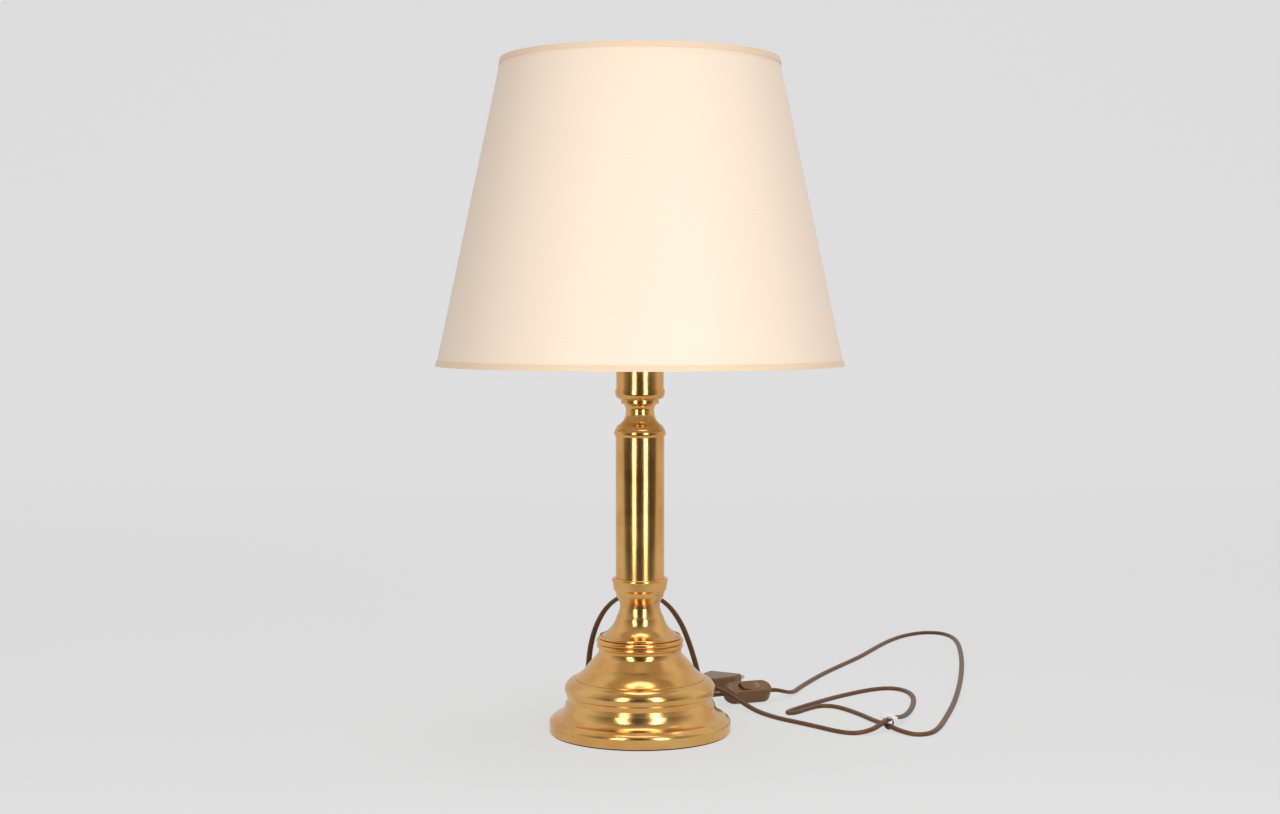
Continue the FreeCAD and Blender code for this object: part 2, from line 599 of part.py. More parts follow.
def make_flex():
    exit_y = size(FOOT_RADIUS) + size("bush_flange") + size("skin_gap")
    half = size("switch_length") / 2
    lead, gap = size("flex_lead"), size("skin_gap")
    flex_tube("cord_lamp_to_switch", [
        (0, exit_y, size("exit_height")),
        (0, 96, 5.2), (-6, 111, 3.2), (-19, 121, FLOOR), (-35, 118, 4), (-45, 106, 11),
        (-48, 92, 25), (-47, 78, 44), (-44, 64, 68), (-37, 50, 90), (-26, 38, 107),
        (-10, 30, 116.5), (9, 30, 116), (25, 39, 105), (37, 53, 86), (45, 68, 64),
        (51, 80, 43), (55, 89, 25), (60, 98, 12.5), (65.5, 105, 10),
        on_switch(-half - lead), on_switch(-half - gap),
    ])
    relief_end = size("plug_length + relief_length")
    flex_tube("cord_switch_to_plug", [
        on_switch(half + gap), on_switch(half + lead), (139, 144, 5), (147, 161, FLOOR), (154, 182, FLOOR),
        (166, 212, FLOOR), (183, 252, FLOOR), (206, 298, FLOOR), (231, 346, FLOOR),
        (252, 396, FLOOR), (272, 441, FLOOR), (294, 478, FLOOR), (318, 500, FLOOR),
        (338, 499, FLOOR), (348, 477, FLOOR), (349, 437, FLOOR), (342, 375, FLOOR),
        (332, 308, FLOOR), (319, 236, FLOOR), (304, 164, FLOOR), (289, 100, FLOOR),
        (273, 43, FLOOR), (262, 6, FLOOR), (251, -19, FLOOR), (236, -25, FLOOR),
        (225, -12, 3.1), (218.6, 2, 3.6), (214.4, 14, 3.6), (208, 32, FLOOR),
        (200, 55, FLOOR), (189, 80, FLOOR), (178, 96, FLOOR), (165, 97, FLOOR),
        (152, 82, FLOOR), (142, 67.5, FLOOR), (134.6, 63.4, FLOOR), (133.8, 70.5, FLOOR),
        (144, 85, FLOOR), (158, 104, FLOOR), (177, 128, FLOOR), (199, 152, FLOOR),
        (223, 174, FLOOR), (243, 181, FLOOR), (255, 167, FLOOR), (258, 140, FLOOR),
        (253, 104, FLOOR), (244, 68, FLOOR), (233, 37, 4), (223, 17, 8.8),
        (212.5, -1, 9.4), (202, -14, 4.8), (186, -20, FLOOR), (171, -12, FLOOR),
        (156, 7, FLOOR), (140, 25, FLOOR), (125, 41, FLOOR), (113, 59, FLOOR),
        (103, 78, 3.4), (92, 92, 7.8), (80, 100.5, 13.6), (68, 108, 17.2),
        (56, 116, 16.8), (47, 126, 12.2),
        on_plug(-relief_end - lead), on_plug(-relief_end - gap),
    ])
    inner = [
        (0, size(FOOT_RADIUS) - size("bush_depth"), size("exit_height")),
        (0, 40, 6), (0, 12, 4.4), (0, 0, size(ROD_BOTTOM) - 7),
        (0, 0, size(ROD_TOP)),
    ]
    flex_tube("inner_lead", inner)


def make_bush():
    """Flanged bush in the foot's back wall."""
    wall_face = size(FOOT_RADIUS) + size("skin_gap")
    depth = size("bush_depth")
    back = Vector(0, 1, 0)
    start = Vector(0, wall_face - depth, size("exit_height"))
    face = Vector(0, wall_face, size("exit_height"))
    barrel = Part.makeCylinder(size(BUSH_RADIUS), depth, start, back)
    flange = Part.makeCylinder(size(BUSH_RADIUS + " + bush_flange_reach"), size("bush_flange"), face, back)
    bore_start = Vector(0, size(FOOT_RADIUS) - depth, size("exit_height"))
    bore = Part.makeCylinder(size("flex_radius") + size("fit_gap"), depth * 2, bore_start, back)
    shaped("cord_bush", barrel.fuse(flange).cut(bore).removeSplitter())


# ---- inline switch -------------------------------------------------------

def slot_prism(length, width, low, high):
    """Prism whose outline is a slot with round ends, centred on the X axis."""
    reach = length / 2 - width / 2
    half = width / 2
    corners = [Vector(-reach, -half, low), Vector(reach, -half, low),
               Vector(reach, half, low), Vector(-reach, half, low)]
    edges = [
        Part.LineSegment(corners[0], corners[1]).toShape(),
        Part.Arc(corners[1], Vector(length / 2, 0, low), corners[2]).toShape(),
        Part.LineSegment(corners[2], corners[3]).toShape(),
        Part.Arc(corners[3], Vector(-length / 2, 0, low), corners[0]).toShape(),
    ]
    return Part.Face(Part.Wire(edges)).extrude(Vector(0, 0, high - low))


def edges_at(shape, height):
    """Edges that lie wholly at one height."""
    def flat(edge):
        return abs(edge.BoundBox.ZMin - height) < 1e-4 and abs(edge.BoundBox.ZMax - height) < 1e-4
    return [edge for edge in shape.Edges if flat(edge)]


def make_switch():
    length, width, half = size("switch_length"), size("switch_width"), size("switch_thickness") / 2
    wall, gap = size("switch_wall"), size("rocker_gap")
    pocket = slot_prism(length - 2 * wall, width - 2 * wall, wall - half, half - wall)
    window = slot_prism(size("rocker_length") + 2 * (gap + size("rocker_swing")),
                        size("rocker_width") + 2 * gap, 0, half + 1)
    upper = slot_prism(length, width, 0, half)
    upper = upper.makeFillet(size("switch_round"), edges_at(upper, half))
    shaped("switch_upper_shell", upper.cut(pocket).cut(window), SWITCH_PLACE)
    lower = slot_prism(length, width, -half, 0)
    lower = lower.makeFillet(size("switch_round"), edges_at(lower, -half))
    shaped("switch_lower_shell", lower.cut(pocket), SWITCH_PLACE)

    top = half + size("rocker_stand")
    rocker = slot_prism(size("rocker_length"), size("rocker_width"), top - size("rocker_thickness"), top)
    dish_radius = size("rocker_dish_radius")
    sagitta = dish_radius - math.sqrt(dish_radius ** 2 - (size("rocker_length") / 2) ** 2)
    dish_centre = Vector(0, -width, top + dish_radius - sagitta)
    rocker = rocker.cut(Part.makeCylinder(dish_radius, 2 * width, dish_centre, Vector(0, 1, 0)))
    axle_height = top - size("rocker_thickness") - size("axle_radius")
    boss_width = size("rocker_width") / 2
    boss = Part.makeBox(boss_width, boss_width, size("axle_radius") * 3,
                        Vector(-boss_width / 2, -boss_width / 2, axle_height - size("axle_radius") * 2))
    reach = width - 2 * wall
    hole = Part.makeCylinder(size("axle_radius") + size("axle_clearance"), reach,
                             Vector(0, -reach / 2, axle_height), Vector(0, 1, 0))
    rocker = rocker.fuse(boss).cut(hole).removeSplitter()
    rocker.rotate(Vector(0, 0, axle_height), Vector(0, 1, 0), size("rocker_tilt"))
    shaped("switch_rocker", rocker, SWITCH_PLACE)
    axle = Part.makeCylinder(size("axle_radius"), reach, Vector(0, -reach / 2, axle_height), Vector(0, 1, 0))
    shaped("switch_axle", axle, SWITCH_PLACE)
    pivot = SWITCH_PLACE.multVec(Vector(0, 0, axle_height))
    axis = SWITCH_SPIN.multVec(Vector(0, 1, 0))
    print("rocker pivot", [round(v, 3) for v in pivot], "axis", [round(v, 5) for v in axis])
    for name, side in (("input", -1), ("output", 1)):
        block_length, block_width = size("terminal_length"), width / 2 - wall
        corner = Vector(side * size("terminal_place") - block_length / 2, -block_width / 2, wall - half)
        block = Part.makeBox(block_length, block_width, half - wall, corner)
        shaped(f"switch_terminal_{name}", block, SWITCH_PLACE)


# ---- plug ----------------------------------------------------------------

def make_plug():
    body = new_body("plug_body")
    sketch = new_sketch(body, "XY_Plane", "plug_plan")
    length, half = size("plug_length"), size("plug_width") / 2
    tail, parallel = size("plug_tail_width") / 2, size("plug_parallel")
    plan = [(0, -half), (0, half), (-parallel, half), (-length, tail), (-length, -tail), (-parallel, -half)]
    for index, start in enumerate(plan):
        end = plan[(index + 1) % len(plan)]
        sketch.addGeometry(Part.LineSegment(Vector(*start, 0), Vector(*end, 0)), False)
    count = len(plan)
    for index in range(count):
        sketch.addConstraint(Sketcher.Constraint("Coincident", index, 2, (index + 1) % count, 1))
    for first, second in ((0, 1), (5, 2), (4, 3)):
        sketch.addConstraint(Sketcher.Constraint("Symmetric", first, 1, second, 1, -1))
    sketch.addConstraint(Sketcher.Constraint("PointOnObject", 0, 1, -2))
    bind(sketch, Sketcher.Constraint("DistanceY", 0, 1, 0, 2, 2 * half), "plug_width")
    bind(sketch, Sketcher.Constraint("DistanceY", 4, 1, 3, 1, 2 * tail), "plug_tail_width")
    bind(sketch, Sketcher.Constraint("DistanceX", 2, 1, -1, 1, parallel), "plug_parallel")
    bind(sketch, Sketcher.Constraint("DistanceX", 3, 1, -1, 1, length), "plug_length")
    pad = body.newObject("PartDesign::Pad", "plug_pad")
    pad.Profile = sketch
    pad.setExpression("Length", formula("plug_thickness"))
    pad.Midplane = True
    sketch.Visibility = False
    doc.recompute()
    half_thick = size("plug_thickness") / 2
    names = []
    for index, edge in enumerate(pad.Shape.Edges, start=1):
        box = edge.BoundBox
        if abs(abs(box.Center.z) - half_thick) < 1e-4 and box.ZLength < 1e-4 and box.XMax - box.XMin > 1e-3:
            names.append(f"Edge{index}")
    rounding = body.newObject("PartDesign::Fillet", "plug_rounding")
    rounding.Base = (pad, names)
    rounding.setExpression("Radius", formula("plug_round"))
    pad.Visibility = False
    body.Placement = PLUG_PLACE

    pins = []
    sleeves = []
    forward = Vector(1, 0, 0)
    for side in (-1, 1):
        start = Vector(0, side * size("pin_pitch") / 2, 0)
        tip = start + forward * size("pin_sleeve_length")
        core = Part.makeCylinder(size("pin_core_radius"), size("pin_sleeve_length"), start, forward)
        metal = Part.makeCylinder(size("pin_radius"), size("pin_length - pin_sleeve_length"), tip, forward)
        pins.append(core.fuse(metal).removeSplitter())
        collar = Part.makeCylinder(size("pin_radius"), size("pin_sleeve_length"), start, forward)
        bore = Part.makeCylinder(size("pin_core_radius + skin_gap"), size("pin_sleeve_length"), start, forward)
        sleeves.append(collar.cut(bore))
    shaped("plug_pins", Part.makeCompound(pins), PLUG_PLACE)
    shaped("plug_pin_sleeves", Part.makeCompound(sleeves), PLUG_PLACE)
    relief = Part.makeCone(size("relief_start_radius"), size("relief_end_radius"), size("relief_length"),
                           Vector(-length, 0, 0), Vector(-1, 0, 0))
    shaped("plug_strain_relief", relief, PLUG_PLACE)


def bind(sketch, constraint, text):
    """Add a dimension that follows a named size."""
    index = sketch.addConstraint(constraint)
    sketch.setExpression(f"Constraints[{index}]", formula(text))


# ---- tie -----------------------------------------------------------------

def make_tie():
    """Flat wire tie round the two crossing runs of flex, with its twisted tail."""
    flex = size("flex_radius")
    clear, thick, width = size("tie_clearance"), size("tie_thickness"), size("tie_width")
    slack = size("tie_slack")
    inner_width = 2 * (flex + clear) + slack
    inner_height = 4 * flex + 2 * clear + slack / 2
    low = clear / 2
    loops = []
    for grow in (thick, 0):
        box = Part.makeBox(inner_width + 2 * grow, width, inner_height + 2 * grow,
                           Vector(-inner_width / 2 - grow, -width / 2, low + thick - grow))
        upright = [e for e in box.Edges if e.BoundBox.YLength > width * 0.9]
        loops.append(box.makeFillet(flex * 0.9 + grow, upright))
    band = loops[0].cut(loops[1])
    top = low + 2 * thick + inner_height
    tail = Part.makeCylinder(size("tie_tail_radius"), size("tie_tail_length"), Vector(0, 0, top - thick / 2),
                             Vector(0.5, -0.2, 0.8))
    place = Placement(Vector(size("tie_x"), size("tie_y"), 0), Rotation())
    shaped("cord_tie", band.fuse(tail).removeSplitter(), place)


make_foot()
make_stem()
make_clamp()
make_lampholder()
make_bulb()
make_shade()
make_bush()
make_flex()
make_switch()
make_plug()
make_tie()
doc.recompute()

NODES = [
    "base_felt", "base_foot", "base_bell", "collar_cup", "column_tube", "column_capital",
    "threaded_rod", "base_weight", "base_washer", "base_nut", "rod_top_nut", "cord_bush", "inner_lead",
    "lampholder_sleeve", "lampholder_insert", "lampholder_shell", "lampholder_contact",
    "bulb_contact", "bulb_cap", "bulb_glass",
    "shade_shell", "shade_trim_bottom", "shade_trim_top", "shade_ring_top", "shade_frame",
    "shade_lower_ring", "shade_clamp_ring",
    "cord_lamp_to_switch", "cord_switch_to_plug", "cord_tie",
    "switch_upper_shell", "switch_lower_shell", "switch_rocker", "switch_axle",
    "switch_terminal_input", "switch_terminal_output",
    "plug_body", "plug_pins", "plug_pin_sleeves", "plug_strain_relief",
]

for item in doc.Objects:
    if "Invalid" in item.State or "Error" in item.State:
        raise ValueError(f"{item.Label} failed: {item.State}")
os.makedirs("parts", exist_ok=True)
for node in NODES:
    shape = doc.getObjectsByLabel(node)[0].Shape
    if shape.isNull() or not shape.isValid():
        raise ValueError(f"{node} has no valid solid")
    shape.exportStep(f"parts/{node}.step")
print(f"{len(NODES)} pieces")
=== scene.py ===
import json
import math

import bpy
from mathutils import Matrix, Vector


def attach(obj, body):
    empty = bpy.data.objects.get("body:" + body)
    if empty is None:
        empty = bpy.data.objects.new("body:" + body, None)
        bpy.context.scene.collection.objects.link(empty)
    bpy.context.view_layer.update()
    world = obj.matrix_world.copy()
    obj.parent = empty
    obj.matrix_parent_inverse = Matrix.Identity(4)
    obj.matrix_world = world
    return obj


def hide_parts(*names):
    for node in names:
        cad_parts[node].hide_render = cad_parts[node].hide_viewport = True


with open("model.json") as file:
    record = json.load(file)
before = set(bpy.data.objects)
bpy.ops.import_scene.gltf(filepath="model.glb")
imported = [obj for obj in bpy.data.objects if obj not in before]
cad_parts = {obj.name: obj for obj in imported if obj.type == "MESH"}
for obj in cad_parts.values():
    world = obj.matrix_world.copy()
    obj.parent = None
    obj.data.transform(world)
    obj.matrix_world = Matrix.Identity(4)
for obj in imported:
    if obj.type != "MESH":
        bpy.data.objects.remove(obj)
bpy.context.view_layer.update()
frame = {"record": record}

# Candlestick table lamp, dressed: brass, laminated shade, twin flex, moulded
# switch and plug. Metres, +Z up, the front is -Y. The flex, the switch, the plug
# and the tie have their sizes and places in millimetres, as in the solids.

MM = 0.001
TAU = 2 * math.pi


# ---- camera ----------------------------------------------------------------

CAMERA_DISTANCE = 1.649
CAMERA_HEIGHT = 0.364
CAMERA_PITCH = 2.84
CAMERA_LENS = 53.8


def make_camera():
    data = bpy.data.cameras.new("camera")
    data.lens = CAMERA_LENS
    data.sensor_width = 36
    camera = bpy.data.objects.new("camera", data)
    camera.location = (0, -CAMERA_DISTANCE, CAMERA_HEIGHT)
    camera.rotation_euler = (math.radians(90 - CAMERA_PITCH), 0, 0)
    bpy.context.scene.collection.objects.link(camera)
    bpy.context.scene.camera = camera


# ---- materials -------------------------------------------------------------

class Nodes:
    """Short hand for building one material's node tree."""

    def __init__(self, name):
        self.material = bpy.data.materials.new(name)
        self.material.use_nodes = True
        self.tree = self.material.node_tree
        self.shader = self.tree.nodes["Principled BSDF"]

    def add(self, kind, **settings):
        node = self.tree.nodes.new(kind)
        for key, value in settings.items():
            setattr(node, key, value)
        return node

    def feed(self, node, name, source):
        """Set a socket to a value, or link it from another socket."""
        socket = node.inputs[name]
        if isinstance(source, bpy.types.NodeSocket):
            self.tree.links.new(source, socket)
        else:
            socket.default_value = source

    def place(self, kind="Object"):
        return self.add("ShaderNodeTexCoord").outputs[kind]

    def stretched(self, source, scale):
        node = self.add("ShaderNodeMapping")
        self.feed(node, "Vector", source)
        node.inputs["Scale"].default_value = scale
        return node.outputs["Vector"]

    def noise(self, source, scale, detail=3.0, roughness=0.5):
        node = self.add("ShaderNodeTexNoise")
        self.feed(node, "Vector", source)
        self.feed(node, "Scale", scale)
        self.feed(node, "Detail", detail)
        self.feed(node, "Roughness", roughness)
        return node.outputs["Fac"]

    def wave(self, source, scale, direction="X", distortion=0.0):
        node = self.add("ShaderNodeTexWave", bands_direction=direction)
        self.feed(node, "Vector", source)
        self.feed(node, "Scale", scale)
        self.feed(node, "Distortion", distortion)
        return node.outputs["Fac"]

    def ramp(self, source, stops):
        node = self.add("ShaderNodeValToRGB")
        self.feed(node, "Fac", source)
        elements = node.color_ramp.elements
        for index, (position, color) in enumerate(stops):
            element = elements[index] if index < 2 else elements.new(position)
            element.position = position
            element.color = (*color, 1)
        return node.outputs["Color"]

    def math(self, operation, first, second=0.0):
        node = self.add("ShaderNodeMath", operation=operation)
        self.feed(node, 0, first)
        self.feed(node, 1, second)
        return node.outputs[0]

    def mix(self, factor, first, second):
        node = self.add("ShaderNodeMix", data_type="RGBA")
        self.feed(node, "Factor", factor)
        for index, source in ((6, first), (7, second)):
            if isinstance(source, bpy.types.NodeSocket):
                self.tree.links.new(source, node.inputs[index])
            else:
                node.inputs[index].default_value = (*source, 1)
        return node.outputs[2]

    def span(self, source, low, high):
        """Map 0..1 to low..high."""
        node = self.add("ShaderNodeMapRange")
        self.feed(node, "Value", source)
        self.feed(node, "To Min", low)
        self.feed(node, "To Max", high)
        return node.outputs["Result"]

    def depth_ramp(self, place, low, high, first, second):
        """Grey that goes from first to second between two places along an axis."""
        node = self.add("ShaderNodeMapRange", interpolation_type="SMOOTHSTEP")
        self.feed(node, "Value", place)
        for name, value in (("From Min", low), ("From Max", high), ("To Min", first), ("To Max", second)):
            self.feed(node, name, value)
        return node.outputs["Result"]

    def bump(self, height, distance, strength=1.0):
        node = self.add("ShaderNodeBump")
        self.feed(node, "Height", height)
        self.feed(node, "Distance", distance)
        self.feed(node, "Strength", strength)
        self.feed(self.shader, "Normal", node.outputs["Normal"])

    def set(self, **sockets):
        for name, source in sockets.items():
            self.feed(self.shader, name.replace("_", " "), source)
        return self.material


def brass(name, bright, deep, rough):
    """Polished brass: turning marks round the axis, faint tarnish and spots."""
    n = Nodes(name)
    place = n.place()
    cloud = n.noise(place, 38.0, 4.0)
    color = n.ramp(cloud, [(0.3, deep), (0.62, bright)])
    specks = n.ramp(n.noise(place, 420.0, 2.0), [(0.0, (0.42, 0.25, 0.1)), (0.34, (1, 1, 1))])
    tint = n.add("ShaderNodeMix", data_type="RGBA", blend_type="MULTIPLY")
    tint.inputs["Factor"].default_value = 0.5
    n.tree.links.new(color, tint.inputs[6])
    n.tree.links.new(specks, tint.inputs[7])
    rings = n.noise(n.stretched(place, (4, 4, 2600)), 1.0, 2.0)
    scratches = n.noise(n.stretched(place, (900, 900, 26)), 1.0, 2.0)
    n.bump(n.math("ADD", rings, n.math("MULTIPLY", scratches, 0.5)), 0.00001, 0.35)
    n.shader.inputs["Metallic"].default_value = 1.0
    return n.set(Base_Color=tint.outputs[2], Roughness=n.span(cloud, rough * 0.8, rough * 1.7))


def plated(name, color, rough):
    n = Nodes(name)
    place = n.place()
    n.shader.inputs["Metallic"].default_value = 1.0
    marks = n.noise(n.stretched(place, (300, 300, 1400)), 1.0, 3.0)
    n.bump(marks, 0.00002, 0.4)
    tone = n.mix(marks, tuple(c * 0.78 for c in color), color)
    return n.set(Base_Color=tone, Roughness=n.span(marks, rough, rough + 0.15))


def moulded(name, bright, deep, rough, grain=900.0):
    """Moulded plastic: slight swirl in the colour and a fine orange peel."""
    n = Nodes(name)
    place = n.place()
    swirl = n.noise(n.stretched(place, (60, 90, 60)), 1.0, 4.0, 0.6)
    n.bump(n.noise(place, grain, 2.0), 0.00003, 0.5)
    return n.set(Base_Color=n.mix(swirl, deep, bright), Roughness=n.span(swirl, rough, rough + 0.12))


def woven(name, bright, deep, pitch, inside=None):
    """Fine plain weave round a cone; inside gives the colour of the lining."""
    n = Nodes(name)
    split = n.add("ShaderNodeSeparateXYZ")
    n.feed(split, "Vector", n.place())
    angle = n.math("ARCTAN2", split.outputs["Y"], split.outputs["X"])
    around = n.add("ShaderNodeCombineXYZ")
    n.feed(around, "X", n.math("MULTIPLY", angle, 0.15))
    n.feed(around, "Y", split.outputs["Z"])
    flat = around.outputs["Vector"]
    weft = n.wave(flat, 1 / pitch / 6.28, "Y", 0.6)
    warp = n.wave(flat, 1 / pitch / 6.28, "X", 0.6)
    slub = n.noise(n.stretched(flat, (30, 700, 1)), 1.0, 3.0)
    cloth = n.math("ADD", n.math("MULTIPLY", weft, warp), n.math("MULTIPLY", slub, 0.8))
    n.bump(cloth, 0.00006, 0.3)
    color = n.mix(n.math("MULTIPLY", cloth, 0.55), deep, bright)
    if inside:
        geometry = n.add("ShaderNodeNewGeometry")
        facing = n.add("ShaderNodeVectorMath", operation="DOT_PRODUCT")
        n.feed(facing, 0, geometry.outputs["Normal"])
        n.feed(facing, 1, geometry.outputs["Position"])
        color = n.mix(n.math("LESS_THAN", facing.outputs["Value"], 0.0), color, inside)
    n.shader.inputs["Sheen Weight"].default_value = 0.15
    return n.set(Base_Color=color, Roughness=n.span(slub, 0.5, 0.62))


def flex_sheath(name):
    """Translucent brown sheath: the twisted copper shows as slanting dashes."""
    n = Nodes(name)
    strands = n.wave(n.place("UV"), 0.42, "DIAGONAL", 1.2)
    blotch = n.noise(n.place(), 260.0, 3.0)
    copper = n.ramp(strands, [(0.25, (0.045, 0.018, 0.006)), (0.8, (0.29, 0.13, 0.045))])
    color = n.mix(n.math("MULTIPLY", blotch, 0.6), copper, (0.1, 0.043, 0.015))
    n.bump(strands, 0.00004, 0.3)
    n.shader.inputs["Specular IOR Level"].default_value = 0.25
    return n.set(Base_Color=color, Roughness=n.span(blotch, 0.28, 0.42))


def grainy(name, dark, light, scale, depth, rough):
    """Felt or cast iron: a rough grain in colour and relief."""
    n = Nodes(name)
    grain = n.noise(n.place(), scale, 5.0, 0.7)
    n.bump(grain, depth, 0.8)
    return n.set(Base_Color=n.mix(grain, dark, light), Roughness=n.span(grain, rough, min(1.0, rough + 0.1)))


def opal(name):
    n = Nodes(name)
    haze = n.noise(n.place(), 70.0, 3.0)
    n.shader.inputs["Coat Weight"].default_value = 0.6
    return n.set(Base_Color=n.mix(haze, (0.8, 0.79, 0.77), (0.88, 0.87, 0.85)),
                 Roughness=n.span(haze, 0.22, 0.32))


def make_materials():
    return {
        "polished_brass": brass("polished_brass", (0.9, 0.52, 0.18), (0.78, 0.39, 0.11), 0.15),
        "plated_steel": plated("plated_steel", (0.7, 0.69, 0.66), 0.2),
        "cast_iron": grainy("cast_iron", (0.03, 0.03, 0.03), (0.08, 0.08, 0.08), 300.0, 0.0004, 0.7),
        "felt": grainy("felt", (0.02, 0.018, 0.016), (0.05, 0.045, 0.04), 1500.0, 0.0003, 0.9),
        "brown_plastic": moulded("brown_plastic", (0.23, 0.105, 0.028), (0.14, 0.06, 0.014), 0.24),
        "flex_sheath": flex_sheath("flex_sheath"),
        "tie_wrap": moulded("tie_wrap", (0.82, 0.82, 0.8), (0.68, 0.68, 0.66), 0.5),
        "white_insulator": moulded("white_insulator", (0.78, 0.75, 0.69), (0.7, 0.67, 0.6), 0.35),
        "shade_fabric": woven("shade_fabric", (0.95, 0.8, 0.65), (0.89, 0.72, 0.56), 0.0006,
                              inside=(0.84, 0.8, 0.74)),
        "shade_trim": woven("shade_trim", (0.9, 0.7, 0.5), (0.8, 0.59, 0.4), 0.0009),
        "white_wire": moulded("white_wire", (0.8, 0.79, 0.76), (0.7, 0.69, 0.66), 0.3),
        "opal_glass": opal("opal_glass"),
    }


def dress_cad(materials):
    """Give each carried-over node the material of its slot."""
    slots = {row["node"]: row["material_slot"] for row in frame["record"]["subparts"]}
    for node, slot in slots.items():
        piece = bpy.data.objects[node]
        for holder in piece.material_slots:
            holder.material = materials[slot]


# ---- flex ------------------------------------------------------------------

FLEX_WIDTH = 5.0 * MM
FLEX_THICKNESS = 3.7 * MM
FLEX_SIDES = 20
FLOOR = 1.9
FLEX_LEAD = 7.0
FLEX_GAP = 0.05

SWITCH_YAW = math.radians(22)
SWITCH_HALF = 23.0
SWITCH_CENTRE = Vector((100.4, 122.0, 9.73))
PLUG_YAW = math.radians(60)
PLUG_FACE = Vector((83.0, 199.0, 6.95))
PLUG_LENGTH = 36.0
RELIEF_LENGTH = 24.0
SWITCH_AXIS = Vector((math.cos(SWITCH_YAW), math.sin(SWITCH_YAW), 0))
PLUG_AXIS = Vector((math.cos(PLUG_YAW), math.sin(PLUG_YAW), 0))
LAMP_EXIT = (0, 80.15, 7.0)
RELIEF_END = PLUG_LENGTH + RELIEF_LENGTH


def on_switch(along):
    """A point on the switch's long axis, from its middle."""
    return tuple(SWITCH_CENTRE + SWITCH_AXIS * along)


def on_plug(along):
    """A point on the plug's long axis, from its face."""
    return tuple(PLUG_FACE + PLUG_AXIS * along)


LAMP_ROUTE = [
    LAMP_EXIT,
    (0, 96, 5.2), (-6, 111, 3.2), (-19, 121, FLOOR), (-35, 118, 4), (-45, 106, 11),
    (-48, 92, 25), (-47, 78, 44), (-44, 64, 68), (-37, 50, 90), (-26, 38, 107),
    (-10, 30, 116.5), (9, 30, 116), (25, 39, 105), (37, 53, 86), (45, 68, 64),
    (51, 80, 43), (55, 89, 25), (60, 98, 12.5), (65.5, 105, 10),
    on_switch(-SWITCH_HALF - FLEX_LEAD), on_switch(-SWITCH_HALF - FLEX_GAP),
]
PLUG_ROUTE = [
    on_switch(SWITCH_HALF + FLEX_GAP), on_switch(SWITCH_HALF + FLEX_LEAD),
    (139, 144, 5), (147, 161, FLOOR), (154, 182, FLOOR),
    (166, 212, FLOOR), (183, 252, FLOOR), (206, 298, FLOOR), (231, 346, FLOOR),
    (252, 396, FLOOR), (272, 441, FLOOR), (294, 478, FLOOR), (318, 500, FLOOR),
    (338, 499, FLOOR), (348, 477, FLOOR), (349, 437, FLOOR), (342, 375, FLOOR),
    (332, 308, FLOOR), (319, 236, FLOOR), (304, 164, FLOOR), (289, 100, FLOOR),
    (273, 43, FLOOR), (262, 6, FLOOR), (251, -19, FLOOR), (236, -25, FLOOR),
    (225, -12, 2.6), (218.6, 2, 3.2), (214.4, 14, 3.2), (208, 32, FLOOR),
    (200, 55, FLOOR), (189, 80, FLOOR), (178, 96, FLOOR), (165, 97, FLOOR),
    (152, 82, FLOOR), (142, 67.5, FLOOR), (134.6, 63.4, FLOOR), (133.8, 70.5, FLOOR),
    (144, 85, FLOOR), (158, 104, FLOOR), (177, 128, FLOOR), (199, 152, FLOOR),
    (223, 174, FLOOR), (243, 181, FLOOR), (255, 167, FLOOR), (258, 140, FLOOR),
    (253, 104, FLOOR), (244, 68, FLOOR), (233, 37, 4), (223, 17, 8.4),
    (212.5, -1, 8.8), (202, -14, 4.4), (186, -20, FLOOR), (171, -12, FLOOR),
    (156, 7, FLOOR), (140, 25, FLOOR), (125, 41, FLOOR), (113, 59, FLOOR),
    (103, 78, 2.6), (92, 92, 7.4), (80, 100.5, 13.6), (68, 108, 17.2),
    (56, 116, 16.8), (47, 126, 12.2),
    on_plug(-RELIEF_END - FLEX_LEAD), on_plug(-RELIEF_END - FLEX_GAP),
]


def route_line(name, route):
    """Points along a smooth curve whose control points are the route."""
    curve = bpy.data.curves.new(name + "_route", "CURVE")
    curve.dimensions = "3D"
    curve.resolution_u = 10
    spline = curve.splines.new("NURBS")
    spline.points.add(len(route) - 1)
    for point, place in zip(spline.points, route):
        point.co = (*(Vector(place) * MM), 1)
    spline.order_u = 3
    spline.use_endpoint_u = True
    holder = bpy.data.objects.new(name + "_route", curve)
    bpy.context.scene.collection.objects.link(holder)
    bpy.context.view_layer.update()
    mesh = bpy.data.meshes.new_from_object(holder)
    line = [vertex.co.copy() for vertex in mesh.vertices]
    bpy.data.meshes.remove(mesh)
    bpy.data.objects.remove(holder)
    bpy.data.curves.remove(curve)
    return line


def twin_section():
    """Outline of two cores side by side with a shallow web between them."""
    core = FLEX_THICKNESS / 2
    offset = FLEX_WIDTH / 2 - core
    section = []
    for index in range(FLEX_SIDES):
        angle = TAU * index / FLEX_SIDES
        across = core * math.cos(angle) + offset * max(-1, min(1, 3 * math.cos(angle)))
        waist = 1 - 0.16 * math.exp(-(across / (0.5 * MM)) ** 2)
        section.append((across, core * math.sin(angle) * waist))
    return section


def tidy_line(line):
    """The line without doubled points."""
    kept = [line[0]]
    for point in line[1:]:
        if (point - kept[-1]).length > 0.05 * MM:
            kept.append(point)
    return kept


